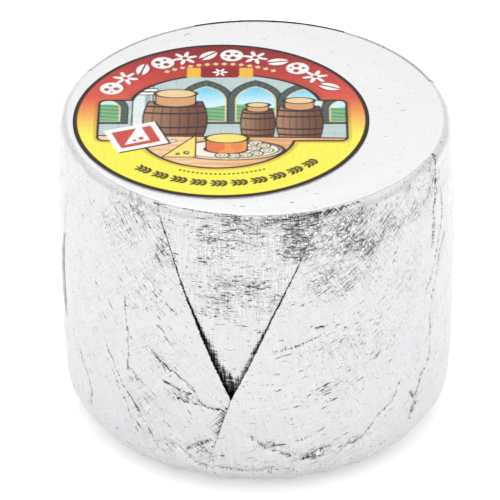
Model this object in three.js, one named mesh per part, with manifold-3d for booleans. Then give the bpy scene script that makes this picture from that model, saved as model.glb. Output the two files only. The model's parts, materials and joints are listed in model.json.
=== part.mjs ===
// A small whole cheese wheel wrapped in one sheet of paper-backed foil, with a round paper label on top.
// Millimetres, +Z up. The origin is the centre of the wrapped wheel's underside.
//
//   cheese        the wheel itself, one piece with rounded edges and slightly barrelled sides
//   foil_wrapper  the sheet: over the top, down the sides, folded in at the front and back, tucked under
//   label         the paper disc glued off centre to the top of the wrapper

import * as THREE from "three";
import { mergeVertices } from "three/addons/utils/BufferGeometryUtils.js";
import Module from "manifold-3d";

// The cheese.
const cheeseRadius = 53.9; // at half height, where the wheel is widest
const cheeseHeight = 88.6;
const barrel = 1.1; // how much narrower the side is at its two ends than at half height
const topShoulder = 1.9; // rounding of the upper edge
const baseShoulder = 10.5; // rounding of the lower edge, where the wheel has settled on its shelf

// The wrapper. Its thickness is one layer of foil and paper, with the air that the creases hold.
const foilThickness = 0.4;
const foilGap = 0.3; // between cheese and wrapper
const tuckOpening = 5; // radius left open where the tucked edges meet under the wheel

// The folds, seen square on from the front; the back is the same, turned half a turn.
// Two wings are folded across the tab that hangs in the middle, and leave a V of it showing.
const notchTopLeft = 27; // how far left of centre the left wing's edge starts at the upper edge
const notchTopRight = 19; // how far right of centre the right wing's edge starts
const notchTip = { across: -7, up: 32 }; // where the two edges cross
const lapBottomLeft = -16.5; // where the right wing's edge, on top, reaches the base
const lapBottomRight = 5; // where the left wing's edge, underneath, reaches the base

// The label. It has slipped off centre until its edge is all but on the rim's rounding.
const labelRadius = 40.5;
const labelThickness = 0.2;
const labelRimGap = 0.05; // from the label's edge to where the rim's rounding starts
const labelBearing = 199; // degrees from +X towards +Y, the way it has slipped
const glueGap = 0.05; // between wrapper and label

// Facets.
const turnSegments = 64;
const arcDivisions = 4;
const weldDistance = 1e-3; // vertices closer than this are one

// Heights and radii that follow from the values above.
const skin = foilGap + foilThickness; // from the cheese to the outside of one layer
const wingSkin = skin + foilThickness; // to the outside of a wing, which lies on that layer
const lapSkin = wingSkin + foilThickness; // to the outside of the wing that lies on the other one
const cheeseBase = skin;
const wrapperTop = cheeseBase + cheeseHeight + skin;
const flatTopRadius = cheeseRadius - barrel - topShoulder; // the same for the cheese and its wrapper
const farOut = 2 * cheeseRadius; // well outside the object, for cutting tools
const quarterTurn = Math.PI / 2;

const wasm = await Module();
wasm.setup();

// The wheel's half outline from the top centre to the base centre, grown outwards by `grow`.
// Its two flat ends grow by `endGrow` instead, where a layer lies on the sides only.
function wheelOutline(grow, endGrow = grow) {
  const top = cheeseBase + cheeseHeight + endGrow;
  const base = cheeseBase - endGrow;
  const widest = cheeseRadius + grow;
  const edge = widest - barrel;
  const upper = topShoulder + grow;
  const lower = baseShoulder + grow;
  const middle = (top - upper + base + lower) / 2;
  const outline = new THREE.Path();
  outline.moveTo(0, top);
  outline.lineTo(edge - upper, top);
  outline.absarc(edge - upper, top - upper, upper, quarterTurn, 0, true);
  outline.quadraticCurveTo(widest + barrel, middle, edge, base + lower);
  outline.absarc(edge - lower, base + lower, lower, 0, -quarterTurn, true);
  outline.lineTo(0, base);
  return outline.getPoints(arcDivisions);
}

// A solid of revolution about +Z, from the half outline of a wheel grown by `grow` and `endGrow`.
function turned(grow, endGrow) {
  const profile = wheelOutline(grow, endGrow).toReversed();
  return new THREE.LatheGeometry(profile, turnSegments).rotateX(quarterTurn);
}

// A disc about +Z between two heights.
function upright(radius, low, high) {
  const disc = new THREE.CylinderGeometry(radius, radius, high - low, turnSegments);
  return disc.rotateX(quarterTurn).translate(0, 0, (low + high) / 2);
}

// A prism with the given (across, up) outline, reaching from the axis out through the front.
function frontPrism(corners) {
  const shape = new THREE.Shape(corners.map(([across, up]) => new THREE.Vector2(across, up)));
  return new THREE.ExtrudeGeometry(shape, { depth: farOut, bevelEnabled: false }).rotateX(quarterTurn);
}

function toManifold(geometry) {
  const bare = new THREE.BufferGeometry();
  bare.setAttribute("position", geometry.getAttribute("position"));
  bare.setIndex(geometry.index);
  const merged = mergeVertices(bare, weldDistance);
  return new wasm.Manifold(
    new wasm.Mesh({
      numProp: 3,
      vertProperties: merged.attributes.position.array,
      triVerts: new Uint32Array(merged.index.array),
    }),
  );
}

function toGeometry(manifold) {
  const mesh = manifold.getMesh();
  const geometry = new THREE.BufferGeometry();
  geometry.setAttribute("position", new THREE.BufferAttribute(mesh.vertProperties, 3));
  geometry.setIndex(new THREE.BufferAttribute(mesh.triVerts, 1));
  geometry.computeVertexNormals();
  return geometry;
}

// The same cut at the front and, turned half a turn, at the back.
function frontAndBack(prism) {
  const front = toManifold(prism);
  return front.add(front.rotate([0, 0, 180]));
}

// The part of the sides where the tab shows between the wings.
function notchPrism() {
  const above = wrapperTop + topShoulder;
  const rise = (above - notchTip.up) / (wrapperTop - notchTip.up);
  return frontPrism([
    [notchTip.across, notchTip.up],
    [notchTip.across + (notchTopRight - notchTip.across) * rise, above],
    [notchTip.across - (notchTopLeft + notchTip.across) * rise, above],
  ]);
}

// The part of the sides below the notch, where one wing lies on the other.
function lapPrism() {
  return frontPrism([
    [notchTip.across, notchTip.up],
    [lapBottomLeft, 0],
    [lapBottomRight, 0],
  ]);
}

// One layer all round the cheese, a second on the sides outside the notches, a third at the laps.
// Wings and laps stop short of the two rounded edges, and the hollow and the tuck's hole are cut last.
function makeFoilWrapper() {
  const sides = toManifold(upright(farOut, cheeseBase + baseShoulder / 2, wrapperTop - topShoulder - skin));
  const wings = toManifold(turned(wingSkin, skin)).intersect(sides).subtract(frontAndBack(notchPrism()));
  const laps = toManifold(turned(lapSkin, skin)).intersect(sides).intersect(frontAndBack(lapPrism()));
  const hole = toManifold(upright(tuckOpening, -skin, cheeseBase));
  const wrapper = toManifold(turned(skin)).add(wings).add(laps);
  return toGeometry(wrapper.subtract(toManifold(turned(foilGap))).subtract(hole));
}

function makeCheese() {
  return turned(0);
}

function makeLabel() {
  return upright(labelRadius, 0, labelThickness);
}

function named(name, geometry, material) {
  const mesh = new THREE.Mesh(geometry, material);
  mesh.name = name;
  return mesh;
}

const rindBrown = new THREE.MeshStandardMaterial({ color: 0xb07a45, roughness: 0.8, metalness: 0 });
const foilSilver = new THREE.MeshStandardMaterial({ color: 0xe4e5e8, roughness: 0.3, metalness: 1 });
const labelYellow = new THREE.MeshStandardMaterial({ color: 0xf6dc4a, roughness: 0.45, metalness: 0 });

const wheel = new THREE.Group();
wheel.add(named("cheese", makeCheese(), rindBrown));
wheel.add(named("foil_wrapper", makeFoilWrapper(), foilSilver));

const label = named("label", makeLabel(), labelYellow);
const slip = flatTopRadius - labelRadius - labelRimGap;
const slipWay = THREE.MathUtils.degToRad(labelBearing);
label.position.set(slip * Math.cos(slipWay), slip * Math.sin(slipWay), wrapperTop + glueGap);
wheel.add(label);

export default wheel;
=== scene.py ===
import json
import math

import bpy
import numpy as np
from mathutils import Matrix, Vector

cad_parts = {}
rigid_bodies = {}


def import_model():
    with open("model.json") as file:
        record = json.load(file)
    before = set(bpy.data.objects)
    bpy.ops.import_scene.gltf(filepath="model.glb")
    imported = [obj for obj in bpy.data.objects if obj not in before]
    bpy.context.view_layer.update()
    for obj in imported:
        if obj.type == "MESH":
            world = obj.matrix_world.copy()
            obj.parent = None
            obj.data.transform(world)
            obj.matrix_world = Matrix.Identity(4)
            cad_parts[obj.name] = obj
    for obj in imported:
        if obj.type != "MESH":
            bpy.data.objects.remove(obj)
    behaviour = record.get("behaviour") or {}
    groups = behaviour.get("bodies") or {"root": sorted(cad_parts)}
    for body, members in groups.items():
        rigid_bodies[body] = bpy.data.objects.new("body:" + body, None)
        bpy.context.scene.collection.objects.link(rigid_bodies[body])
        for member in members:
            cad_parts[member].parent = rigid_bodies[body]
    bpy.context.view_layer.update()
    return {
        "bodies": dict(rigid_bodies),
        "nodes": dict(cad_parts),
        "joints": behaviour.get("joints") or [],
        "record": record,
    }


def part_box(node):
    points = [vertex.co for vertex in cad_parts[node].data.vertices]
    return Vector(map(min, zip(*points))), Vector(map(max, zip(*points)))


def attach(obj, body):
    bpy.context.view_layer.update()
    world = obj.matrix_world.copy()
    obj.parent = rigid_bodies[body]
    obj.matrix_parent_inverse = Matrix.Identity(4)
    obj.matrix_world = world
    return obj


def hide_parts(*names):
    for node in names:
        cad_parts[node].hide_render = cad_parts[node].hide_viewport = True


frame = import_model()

mm = 0.001
foilHigh = np.array(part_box("foil_wrapper")[1]) / mm
labelLow, labelHigh = (np.array(corner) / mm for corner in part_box("label"))
cheeseLow, cheeseHigh = (np.array(corner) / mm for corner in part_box("cheese"))
labelMiddle = (labelLow + labelHigh) / 2
labelRadius = (labelHigh[0] - labelLow[0]) / 2

# Shapes are worked out in millimetres, and meshPiece turns them into metres.
# Angles round the wheel are measured from the front, and grow towards the right. A level is a height
# in millimetres, measured over the surface down from the top, so it falls below 0 under the wheel.

wheel = {
    "radius": foilHigh[0],  # at the widest
    "height": foilHigh[2],
    "topEdge": 53.6,  # radius where the side meets the rim's rounding
    "baseEdge": 54.3,  # radius where the side meets the base's rounding
    "topRounding": 2.7,
    "baseRounding": 11.2,
    "opening": 5.0,  # left open where the tucked edges meet
    "lean": -1.0,  # how far the top has slid sideways over the base
    "rimBand": (1.25, 2.08),  # stations between which the smooth top passes into the wrinkled side
}

folds = {
    "topLeft": -27.0,  # where the left wing's edge leaves the rim
    "topRight": 19.0,
    "tip": (-7.0, 32.0),  # where the two wings' edges cross
    "baseLeft": -16.5,  # where the upper wing's edge reaches the base
    "baseRight": 5.0,  # where the lower wing's edge does, out of sight
    "bow": -1.3,  # the left edge isn't quite straight
    "waver": (0.3, 0.14),  # how far both edges waver, slowly and quickly
    "tabDepth": [(30, 0.85), (50, 0.55), (66, 0.3), (88, 0.15)],  # how far the tab lies in, by level
    "tipDepth": 0.35,  # how much further it does near the tip
}


# A smooth step from 0 to 1 while x goes from start to end, upwards or downwards.
def ease(x, start, end):
    t = np.clip((x - start) / (end - start), 0, 1)
    return t * t * (3 - 2 * t)


# The same angle, brought between half a turn back and half a turn on.
def wrapped(angle):
    return np.mod(angle + math.pi, 2 * math.pi) - math.pi


# A point's place on axes that are turned, given the turn's cosine and sine.
def turnedAxes(u, v, cosine, sine):
    return u * cosine + v * sine, v * cosine - u * sine


noiseRows = 64  # the noise repeats after this many cells upwards


# Value noise: random heights on a lattice, `across` cells to the turn and one cell to each unit of v,
# with the four nearest heights eased into each other.
def lattice(turn, v, across, seed):
    heights = np.random.default_rng(seed).random((noiseRows, across))
    x, y = np.broadcast_arrays(np.mod(turn, 1) * across, v)
    column, row = np.floor(x).astype(int), np.floor(y).astype(int)
    fx, fy = x - column, y - row
    fx, fy = fx * fx * (3 - 2 * fx), fy * fy * (3 - 2 * fy)
    def at(i, j):
        return heights[(row + i) % noiseRows, (column + j) % across]
    near = at(0, 0) * (1 - fx) + at(0, 1) * fx
    far = at(1, 0) * (1 - fx) + at(1, 1) * fx
    return near * (1 - fy) + far * fy


# Sharp ridges where the noise passes its middle: 1 on the ridge, falling away on both sides.
def ridges(turn, v, across, seed):
    return 1 - np.abs(2 * lattice(turn, v, across, seed) - 1)


# Distance from each point to a line of straight stretches, all in millimetres.
def nearLine(x, y, line):
    nearest = np.full(np.shape(x), 1e9)
    for (ax, ay), (bx, by) in zip(line[:-1], line[1:]):
        dx, dy = bx - ax, by - ay
        along = np.clip(((x - ax) * dx + (y - ay) * dy) / (dx * dx + dy * dy), 0, 1)
        nearest = np.minimum(nearest, np.hypot(x - ax - along * dx, y - ay - along * dy))
    return nearest


# Half outline by a station t: 0 to 1 across the top, 1 to 2 round the rim, 2 to 3 down the side,
# 3 to 4 round the base's edge, 4 to 5 in under the wheel. Returns the radius, the height, the
# outward direction, and the depth measured over the surface down from the rim.
def outline(t):
    top, rim, side, low, under = (np.clip(t - k, 0, 1) for k in range(5))
    flat = wheel["topEdge"] - wheel["topRounding"]
    foot = wheel["baseEdge"] - wheel["baseRounding"]
    straight = wheel["height"] - wheel["topRounding"] - wheel["baseRounding"]
    bulge = wheel["radius"] - (wheel["topEdge"] + wheel["baseEdge"]) / 2
    rimAngle, lowAngle = rim * math.pi / 2, low * math.pi / 2
    radius = flat * top + wheel["topRounding"] * np.sin(rimAngle)
    radius = radius + (wheel["baseEdge"] - wheel["topEdge"]) * side + 4 * bulge * side * (1 - side)
    radius = radius - wheel["baseRounding"] * (1 - np.cos(lowAngle)) - (foot - wheel["opening"]) * under
    height = wheel["height"] - wheel["topRounding"] * (1 - np.cos(rimAngle)) - straight * side
    height = height - wheel["baseRounding"] * np.sin(lowAngle)
    angle = rimAngle + lowAngle
    arcs = wheel["topRounding"] * rimAngle + wheel["baseRounding"] * lowAngle
    depth = arcs + straight * side + (foot - wheel["opening"]) * under - flat * (1 - top)
    return radius, height, np.sin(angle), np.cos(angle), depth


# Stations in one array, from runs of (first, last, how many); only the last run keeps its end.
def stationRuns(runs):
    return np.concatenate([np.linspace(a, b, n, endpoint=b == runs[-1][1]) for a, b, n in runs])


# What a table of (level, value) gives at each level.
def byLevel(level, table):
    return np.interp(level, *zip(*table))


# How far a station is past the rim, from 0 on the smooth top to 1 on the side.
def pastRim(station):
    return ease(station, *wheel["rimBand"])


# A point on the wheel at an angle and a station, moved outwards by `out`.
def onWheel(angle, t, out):
    radius, height, outward, upward, _ = outline(t)
    radius, height = radius + outward * out, height + upward * out
    shift = wheel["lean"] * (height / wheel["height"] - 0.5)
    x = radius * np.sin(angle) + shift
    return np.stack(np.broadcast_arrays(x, -radius * np.cos(angle), height), -1)


# The angle of a wing's free edge at a level: a straight line seen from the front, above the tip
# and below it. Levels below the base are on the underside.
def wingEdge(level, hand):
    tipAcross, tipUp = folds["tip"]
    top, base = (folds["topRight"], folds["baseLeft"]) if hand > 0 else (folds["topLeft"], folds["baseRight"])
    above = (level - tipUp) / (wheel["height"] - tipUp)
    upper = tipAcross + (top - tipAcross) * above
    if hand < 0:
        upper = upper + 4 * folds["bow"] * above * (1 - above)
    lower = tipAcross + (base - tipAcross) * (tipUp - level) / tipUp
    slowly, quickly = folds["waver"]
    waver = slowly * (lattice(0.1 + 0.3 * hand, level / 7, 9, 61) - 0.5)
    waver = waver + quickly * (lattice(0.1, level / 1.9, 9, 62) - 0.5)
    across = np.where(level > tipUp, upper, lower) + waver
    return np.arcsin(np.clip(across / wheel["radius"], -0.95, 0.95))


# The level of a station: the wheel's height less the depth of its point over the surface.
def levelOf(t):
    return wheel["height"] - outline(t)[4]


# How far outside each wing's free edge a point is, in millimetres round the wheel.
def fromEdges(angle, level):
    around = wheel["radius"]
    return (wingEdge(level, -1) - angle) * around, (angle - wingEdge(level, 1)) * around


# Creases: points as (angle in degrees, level), then depth, width, and how dark the crease looks, as painted
# shade.
creases = [
    ([(3, 86.6), (10, 87.6), (16, 88.2)], 0.25, 0.45, 0.7),
    ([(14, 87.8), (22, 88.1), (31, 88.4)], 0.5, 1.15, 0.8),
    ([(-23, 89.0), (-14, 89.1), (-5, 88.9)], 0.2, 0.45, 0.85),
    ([(67, 88.5), (65.5, 86.5), (65, 80.5), (64, 75), (63, 70.5), (62, 62)], 0.45, 0.95, 0.85),
    ([(68.5, 76.5), (69.9, 71), (67.6, 64.7), (63.9, 59)], 0.35, 0.75, 0.6),
    ([(63.9, 59), (60.1, 51.6), (57.5, 49.5)], 0.35, 0.55, 0.8),
    ([(70.7, 61), (66.4, 57.7), (64.2, 51.7)], 0.35, 0.75, 0.6),
    ([(64.2, 51.7), (61.1, 45), (60, 38), (60, 27), (57, 23)], 0.35, 0.55, 0.7),
    ([(57, 24), (54, 19), (51, 13), (50, 8)], 0.5, 0.6, 0.9),
    ([(-71, 72), (-73, 65), (-73, 59)], 0.4, 0.9, 0.35),
    ([(-40, 56), (-40, 52), (-39, 42), (-40, 32)], 0.3, 0.4, 0.8),
    ([(-64, 27), (-58, 17), (-59, 11)], 0.4, 0.5, 0.75),
    ([(-32, 43), (-23, 36), (-20, 34), (-18, 32)], 0.35, 0.5, 0.85),
    ([(-27.3, 33.3), (-23, 32), (-19, 31.4)], 0.3, 0.5, 0.95),
    ([(-23, 28.9), (-18, 28.2), (-12, 27.6), (-8.2, 27.7)], 0.3, 0.5, 0.9),
    ([(-15.5, 57.3), (-11.5, 57)], 0.3, 0.55, 0.75),
    ([(-41, 24), (-36, 20)], 0.3, 0.45, 0.8),
    ([(-39, 33), (-33, 29)], 0.25, 0.45, 0.7),
    ([(-30, 61), (-23, 56)], 0.25, 0.4, 0.6),
    ([(-29, 51), (-24, 45)], 0.25, 0.4, 0.6),
    ([(-49, 38), (-42, 26), (-33, 15), (-30, 9)], 0.3, 0.5, 0.5),
    ([(-46, 30), (-43, 24), (-38, 14)], 0.2, 0.4, 0.5),
    ([(5, 47), (11, 48), (18, 50)], 0.25, 0.45, 0.7),
    ([(15, 54), (17, 53), (20, 53)], 0.25, 0.45, 0.7),
    ([(-2, 19), (3, 15), (9, 12)], 0.6, 0.8, 0.55),
    ([(10, 17), (17, 18)], 0.3, 0.5, 0.6),
    ([(13, 10), (17, 12), (21, 12.5)], 0.7, 0.8, 0.7),
    ([(32, 13), (37, 18), (42, 20), (45, 26)], 0.35, 0.5, 0.6),
    ([(24, 9), (28, 13), (34, 12)], 0.6, 1.0, 0.15),
    ([(-21, 12), (-17, 14.5), (-14, 16)], 0.6, 0.7, 0.85),
    ([(-12, 7), (-4, 5), (4, 7)], 0.7, 0.9, 0.48),
    ([(-24, 12), (-20, 8), (-14, 6)], 0.6, 0.9, 0.5),
    ([(50, 20), (54, 16), (51, 12)], 0.5, 0.8, 0.7),
]

# Crumpled places: angle, level, reach round the wheel and up it, and how strongly. Crumpling raises fine ridges
# and brings the painted shade and highlights of flecks and facets.
crumples = [
    (14, 84, 12, 6, 1.0),
    (24, 82, 14, 7, 0.9),
    (30, 76, 13, 8, 0.72),
    (11, 78, 8, 6, 0.9),
    (40, 78, 12, 10, 0.62),
    (24, 68, 17, 9, 0.6),
    (52, 80, 14, 9, 0.48),
    (48, 60, 13, 14, 0.34),
    (-35, 84, 12, 7, 0.62),
    (-43, 76, 10, 8, 0.5),
    (-27, 74, 5, 8, 0.68),
    (-33, 62, 12, 12, 0.38),
    (0, 85, 28, 10, 0.6),
    (-12, 80, 9, 12, 0.66),
    (-8, 62, 9, 8, 0.58),
    (-4, 66, 20, 13, 0.55),
    (62, 82, 6, 9, 0.6),
    (30, 46, 26, 14, 0.36),
    (20, 32, 20, 6, 0.34),
    (-28, 42, 12, 12, 0.36),
    (-34, 24, 12, 10, 0.42),
    (-30, 12, 16, 6, 0.36),
    (18, 12, 16, 5, 0.36),
    (0, 7, 80, 6, 0.28),
    (-21, 30, 7, 3, 0.62),
    (-15, 12, 6, 3, 0.6),
    (-27, 13, 5, 2.5, 0.55),
    (4, 16.5, 5, 2.2, 0.62),
    (16, 11.3, 7, 2.2, 0.66),
    (29, 12.5, 4.5, 2, 0.6),
    (52, 13.8, 3, 2.5, 0.6),
]


# A long fold on the left side, sunk into the foil, with painted shade inside it.
sideFold = {
    # by level, the angle of its sharp edge in degrees, and how far it fades out beside that
    "edge": [(30.5, -77), (34, -80.5), (41, -80.5), (50, -78.5), (56, -75.5), (60, -74)],
    "reach": [(30.5, 1.5), (35, 6.5), (42, 5.4), (50, 3.8), (56, 1.8), (60, 1.0)],
    "lip": (-0.5, 0.4),  # the edge falls away between these distances
    "foot": (29.5, 32),  # levels between which it begins
    "head": (56, 60.5),  # ... and between which it ends
    "depth": 0.9,
    # painted shade inside the fold
    "dark": 0.8,
}


# How deep in the side fold each point lies, from 0 to 1: it falls away from the sharp edge towards the front.
def inSideFold(local, level):
    edge, reach = byLevel(level, sideFold["edge"]), byLevel(level, sideFold["reach"])
    past = wheel["radius"] * (local - np.radians(edge))
    depth = ease(past, *sideFold["lip"]) * (1 - ease(past, 0.2, reach))
    return depth * ease(level, *sideFold["foot"]) * (1 - ease(level, *sideFold["head"]))


creaseLook = {
    "strays": 0.7,  # how far a crease wobbles about its line
    "broken": 0.3,  # share of its dark that a crease loses here and there
    "core": 0.7,  # width of its dark beside the width of its groove
    "calm": 0.16,  # how crumpled the foil is away from the crumpled places
}


# The depth of the creases and their painted shade, and how crumpled the foil is, by angle and level. A crease
# is a bell over the distance from its line, and a crumpled place a bell over the distance from its middle.
def creasesWithShade(angle, level):
    turned = wrapped(angle)
    around = wheel["radius"] * turned
    groove, dark = np.zeros(angle.shape), np.zeros(angle.shape)
    crush = np.full(angle.shape, creaseLook["calm"])
    wobble = creaseLook["strays"] * (lattice(turned / (2 * math.pi), level / 2.5, 140, 71) - 0.5)
    whole = ease(lattice(turned / (2 * math.pi), level / 1.3, 230, 72), 0.2, 0.6)
    kept = 1 - creaseLook["broken"] + creaseLook["broken"] * whole
    for line, depth, width, shade in creases:
        spots = [(math.radians(a) * wheel["radius"], z) for a, z in line]
        away = nearLine(around + wobble, level + wobble, spots)
        groove = np.maximum(groove, depth * np.exp(-(away / width) ** 2))
        # painted shade along the crease, narrower than its groove
        dark = np.maximum(dark, shade * kept * np.exp(-(away / (creaseLook["core"] * width)) ** 2))
    for a, z, wide, high, strength in crumples:
        place = np.hypot((around - math.radians(a) * wheel["radius"]) / wide, (level - z) / high)
        crush = np.maximum(crush, strength * np.exp(-place ** 2))
    return groove, dark, crush


# Wrinkles are given by their height, their length up the side, and how many go round the wheel.
foilRelief = {
    "waves": (0.5, 17, 19),
    # ridges have a height where the foil is smooth and another that full crumpling adds,
    # and at the end how far up the side their pattern leans by a whole turn
    "ridges": [(0.26, 0.0, 8, 46, math.inf), (0.08, 0.28, 3.1, 112, 900), (0.03, 0.17, 1.7, 210, -700)],
    "pleats": (0.75, 11, 60),
    "pleatsRise": (13, -1),  # levels between which the pleats of the base come up
    "pleatsTake": 0.4,  # share of the other wrinkles that they smooth away
    "seed": 11,
}


# Height of the foil's own wrinkles: broad waves, then soft, fine and finest ridges, added up, and pleats
# that run up from the base.
def wrinkles(angle, level, crush):
    turn, seed = angle / (2 * math.pi), foilRelief["seed"]
    high, long, count = foilRelief["waves"]
    height = high * (lattice(turn, level / long, count, seed) - 0.5)
    for k, (smooth, crumpled, long, count, lean) in enumerate(foilRelief["ridges"], 1):
        ridge = ridges(turn + level / lean, level / long, count, seed + k) - 0.6
        height = height + (smooth + crumpled * crush) * ridge
    low = ease(level, *foilRelief["pleatsRise"])
    high, long, count = foilRelief["pleats"]
    pleats = low * high * (ridges(turn, level / long, count, seed + 4) - 0.85)
    return height * (1 - foilRelief["pleatsTake"] * low) + pleats


# How far the linen's threads are turned on each panel, in radians: a folded panel has turned with its fold.
panelGrain = {
    "tab": 0.0,
    "leftWing": math.radians(-46),
    "leftSide": math.radians(-68),
    "rightSide": math.radians(77),
}
grainFan = {"centre": (-20, 150), "reach": 100}  # the right wing's threads curve round this point


# Quads between neighbouring rows and columns of a grid, facing out on the wheel.
def gridFaces(rows, columns, closed, first=0):
    row = np.arange(rows - 1)[:, None]
    column = np.arange(columns if closed else columns - 1)[None]
    beside = (column + 1) % columns
    upper, lower = row * columns, (row + 1) * columns
    corners = [upper + column, lower + column, lower + beside, upper + beside]
    return np.stack(np.broadcast_arrays(*corners), -1).reshape(-1, 4) + first


# The border of a grid of points as a closed ring: down its first column, along its last row, and back.
def borderOf(index):
    return np.concatenate([index[:-1, 0], index[-1, :-1], index[:0:-1, -1], index[0, :0:-1]])


# Quads between two closed rings of points.
def ringBand(upper, lower):
    return np.stack([upper, lower, np.roll(lower, -1), np.roll(upper, -1)], -1)


# Triangles from a pole to a closed ring of points.
def poleFan(pole, ring, flipped=False):
    pair = [ring, np.roll(ring, -1)]
    return np.stack([np.full(len(ring), pole), *(pair[::-1] if flipped else pair)], -1)


# One object from points in millimetres and groups of triangles or quads. `values` become point attributes,
# numbers or colours, and `uv` the threads' coordinates.
def meshPiece(name, points, faces, material, values=None, uv=None):
    mesh = bpy.data.meshes.new(name)
    mesh.from_pydata((points * mm).tolist(), [], [face for group in faces for face in group.tolist()])
    for key, numbers in (values or {}).items():
        kind, field = "FLOAT", "value"
        if numbers.ndim == 2:
            kind, field = "FLOAT_COLOR", "color"
            numbers = np.concatenate([numbers, np.ones((len(numbers), 1))], 1)
        layer = mesh.attributes.new(key, kind, "POINT")
        layer.data.foreach_set(field, numbers.astype(np.float32).ravel())
    if uv is not None:
        corner = np.zeros(len(mesh.loops), np.int32)
        mesh.loops.foreach_get("vertex_index", corner)
        mesh.uv_layers.new(name="weave").data.foreach_set("uv", (uv[corner] * mm).astype(np.float32).ravel())
    mesh.shade_smooth()
    mesh.materials.append(material)
    piece = bpy.data.objects.new(name, mesh)
    bpy.context.scene.collection.objects.link(piece)
    return piece


# Sets a node's inputs: another node's output is linked, anything else is set on the input itself.
def setInputs(tree, target, inputs):
    for key, value in inputs.items():
        if isinstance(value, bpy.types.NodeSocket):
            tree.links.new(value, target.inputs[key])
        else:
            target.inputs[key].default_value = value


# Makes a node and gives the output that is wanted of it.
def node(tree, kind, inputs=None, output=0, **settings):
    made = tree.nodes.new("ShaderNode" + kind)
    for key, value in settings.items():
        setattr(made, key, value)
    setInputs(tree, made, inputs or {})
    return made.outputs[output]


# A material, with its tree and its shader.
def newMaterial(name):
    material = bpy.data.materials.new(name)
    material.use_nodes = True
    tree = material.node_tree
    return material, tree, tree.nodes["Principled BSDF"]


# One step of arithmetic on two values.
def arith(tree, operation, a, b=0.0, clamp=False):
    return node(tree, "Math", {0: a, 1: b}, operation=operation, use_clamp=clamp)


# The product of two values.
def times(tree, a, b, clamp=False):
    return arith(tree, "MULTIPLY", a, b, clamp)


# A smooth step from toLow to toHigh while the value goes from low to high.
def between(tree, value, low, high, toLow=0.0, toHigh=1.0):
    ranged = {"Value": value, "From Min": low, "From Max": high, "To Min": toLow, "To Max": toHigh}
    return node(tree, "MapRange", ranged, "Result", interpolation_type="SMOOTHSTEP")


# Plain noise: output 0 is a number, output 1 a colour.
def noise(tree, place, scale, detail, output=0):
    return node(tree, "TexNoise", {"Vector": place, "Scale": scale, "Detail": detail}, output)


# A colour or vector, each part times the same number.
def scaled(tree, vector, by):
    return node(tree, "VectorMath", {0: vector, "Scale": by}, operation="SCALE")


# Noise drawn out along one direction: `along` and `across` are the grain's lengths in millimetres,
# and `turn` is the angle in degrees from the threads to the grain.
def grain(tree, place, along, across, detail=2.0, turn=0, offset=0.0):
    inputs = {
        "Vector": place,
        "Location": (offset, offset, offset),
        "Rotation": (0, 0, math.radians(turn)),
        "Scale": (along * mm, across * mm, 1),
    }
    mapped = node(tree, "Mapping", inputs, vector_type="TEXTURE")
    return node(tree, "TexNoise", {"Vector": mapped, "Scale": 1.0, "Detail": detail, "Roughness": 0.55})


# Linen threads both ways, added up: each is grain as long as a thread keeps its height and as wide as a thread.
def linenThreads(tree, place, run, pitch, offset):
    warp = grain(tree, place, run, pitch, 1.0)
    weft = grain(tree, place, run, pitch, 1.0, 90, offset)
    return arith(tree, "ADD", warp, weft)


foilLook = {
    "colour": (0.81, 0.81, 0.82),
    # the near-black that painted shade mixes in: flecks, creases, shadow bands and the side fold
    "creased": (0.03, 0.03, 0.034, 1),
    "roughness": (0.25, 0.36),
    "threadPitch": 0.36,  # mm across one thread of the linen
    "threadRun": 5.0,  # mm that a thread keeps its height
    "emboss": 0.045,  # mm
    "linenSpan": (0.72, 1.28),  # the deepest and the highest thread
    "linenShading": (0.78, 1.08),  # the darkest and the lightest thread where the foil is crumpled: painted shade and highlight
    "linenShown": (0.1, 1.0),  # share of that which shows where it is smooth, and where it is crumpled
    "blotch": (8.0, 5.0),  # mm, length and width of the patches that are crumpled more and less
    "patchy": (0.62, 1.2),  # crumpling there, beside what the piece says
    "fleckStart": 0.7,  # flecks begin where the grain's noise passes this
    "fleckSpread": 0.184,  # ... less this where the foil is fully crumpled
    "fleckMost": 0.72,  # crumpling beyond this brings no more flecks
    "fleckEdge": 0.035,  # how far above its start a fleck is at its darkest
    # how dark a fleck's painted shade is
    "fleckDark": 0.85,
    "fleckDepth": 1.2,  # how deep a fleck is beside a thread's height
    # the grains that flecks come in: length and width in mm, turn in degrees, seed, how much later they begin
    "grains": [
        (1.9, 0.34, 0, 3.1, 0.012), (3.2, 0.6, 0, 9.4, 0.013), (1.3, 0.32, 90, 5.7, 0.04),
        (1.3, 0.34, 38, 2.2, 0.04), (1.3, 0.34, -34, 6.6, 0.04),
    ],
    # the flat facets between them: length and width in mm, and the crumpling between which they come up
    "facets": [(0.9, 0.45, 0.25, 0.9), (2.6, 1.3, 0.7, 1.1)],
    "facetShadeAndGlint": (0.42, 1.4),  # painted shade and highlight: the darkest and the lightest of them
    "facetBend": (600.0, 1.3),  # how finely, and by how many mm, their outlines are bent
    "dents": (1.5, 1.1, 3.5),  # mm, length and width of small dents, and their depth beside a thread's height
    "hatch": 2.2,  # how strongly the threads break up a shadow
    "sideShade": 0.82,  # tone of the folded foil of the sides beside the smooth top: painted shade, darker than the top
}


# Flecks, small sharp creases shown as dents and painted shade: where noise drawn out along each grain passes a
# level that falls as the foil is more crumpled.
def foilFlecks(tree, weave, crumpled):
    most = arith(tree, "MINIMUM", crumpled, foilLook["fleckMost"])
    sooner = times(tree, most, foilLook["fleckSpread"])
    start = arith(tree, "SUBTRACT", foilLook["fleckStart"], sooner)
    fleck = 0.0
    for along, across, turn, offset, later in foilLook["grains"]:
        delayed = arith(tree, "SUBTRACT", grain(tree, weave, along, across, 2.5, turn, offset), later)
        past = arith(tree, "SUBTRACT", delayed, start)
        fleck = arith(tree, "MAXIMUM", fleck, between(tree, past, 0.0, foilLook["fleckEdge"]))
    return fleck
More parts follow.
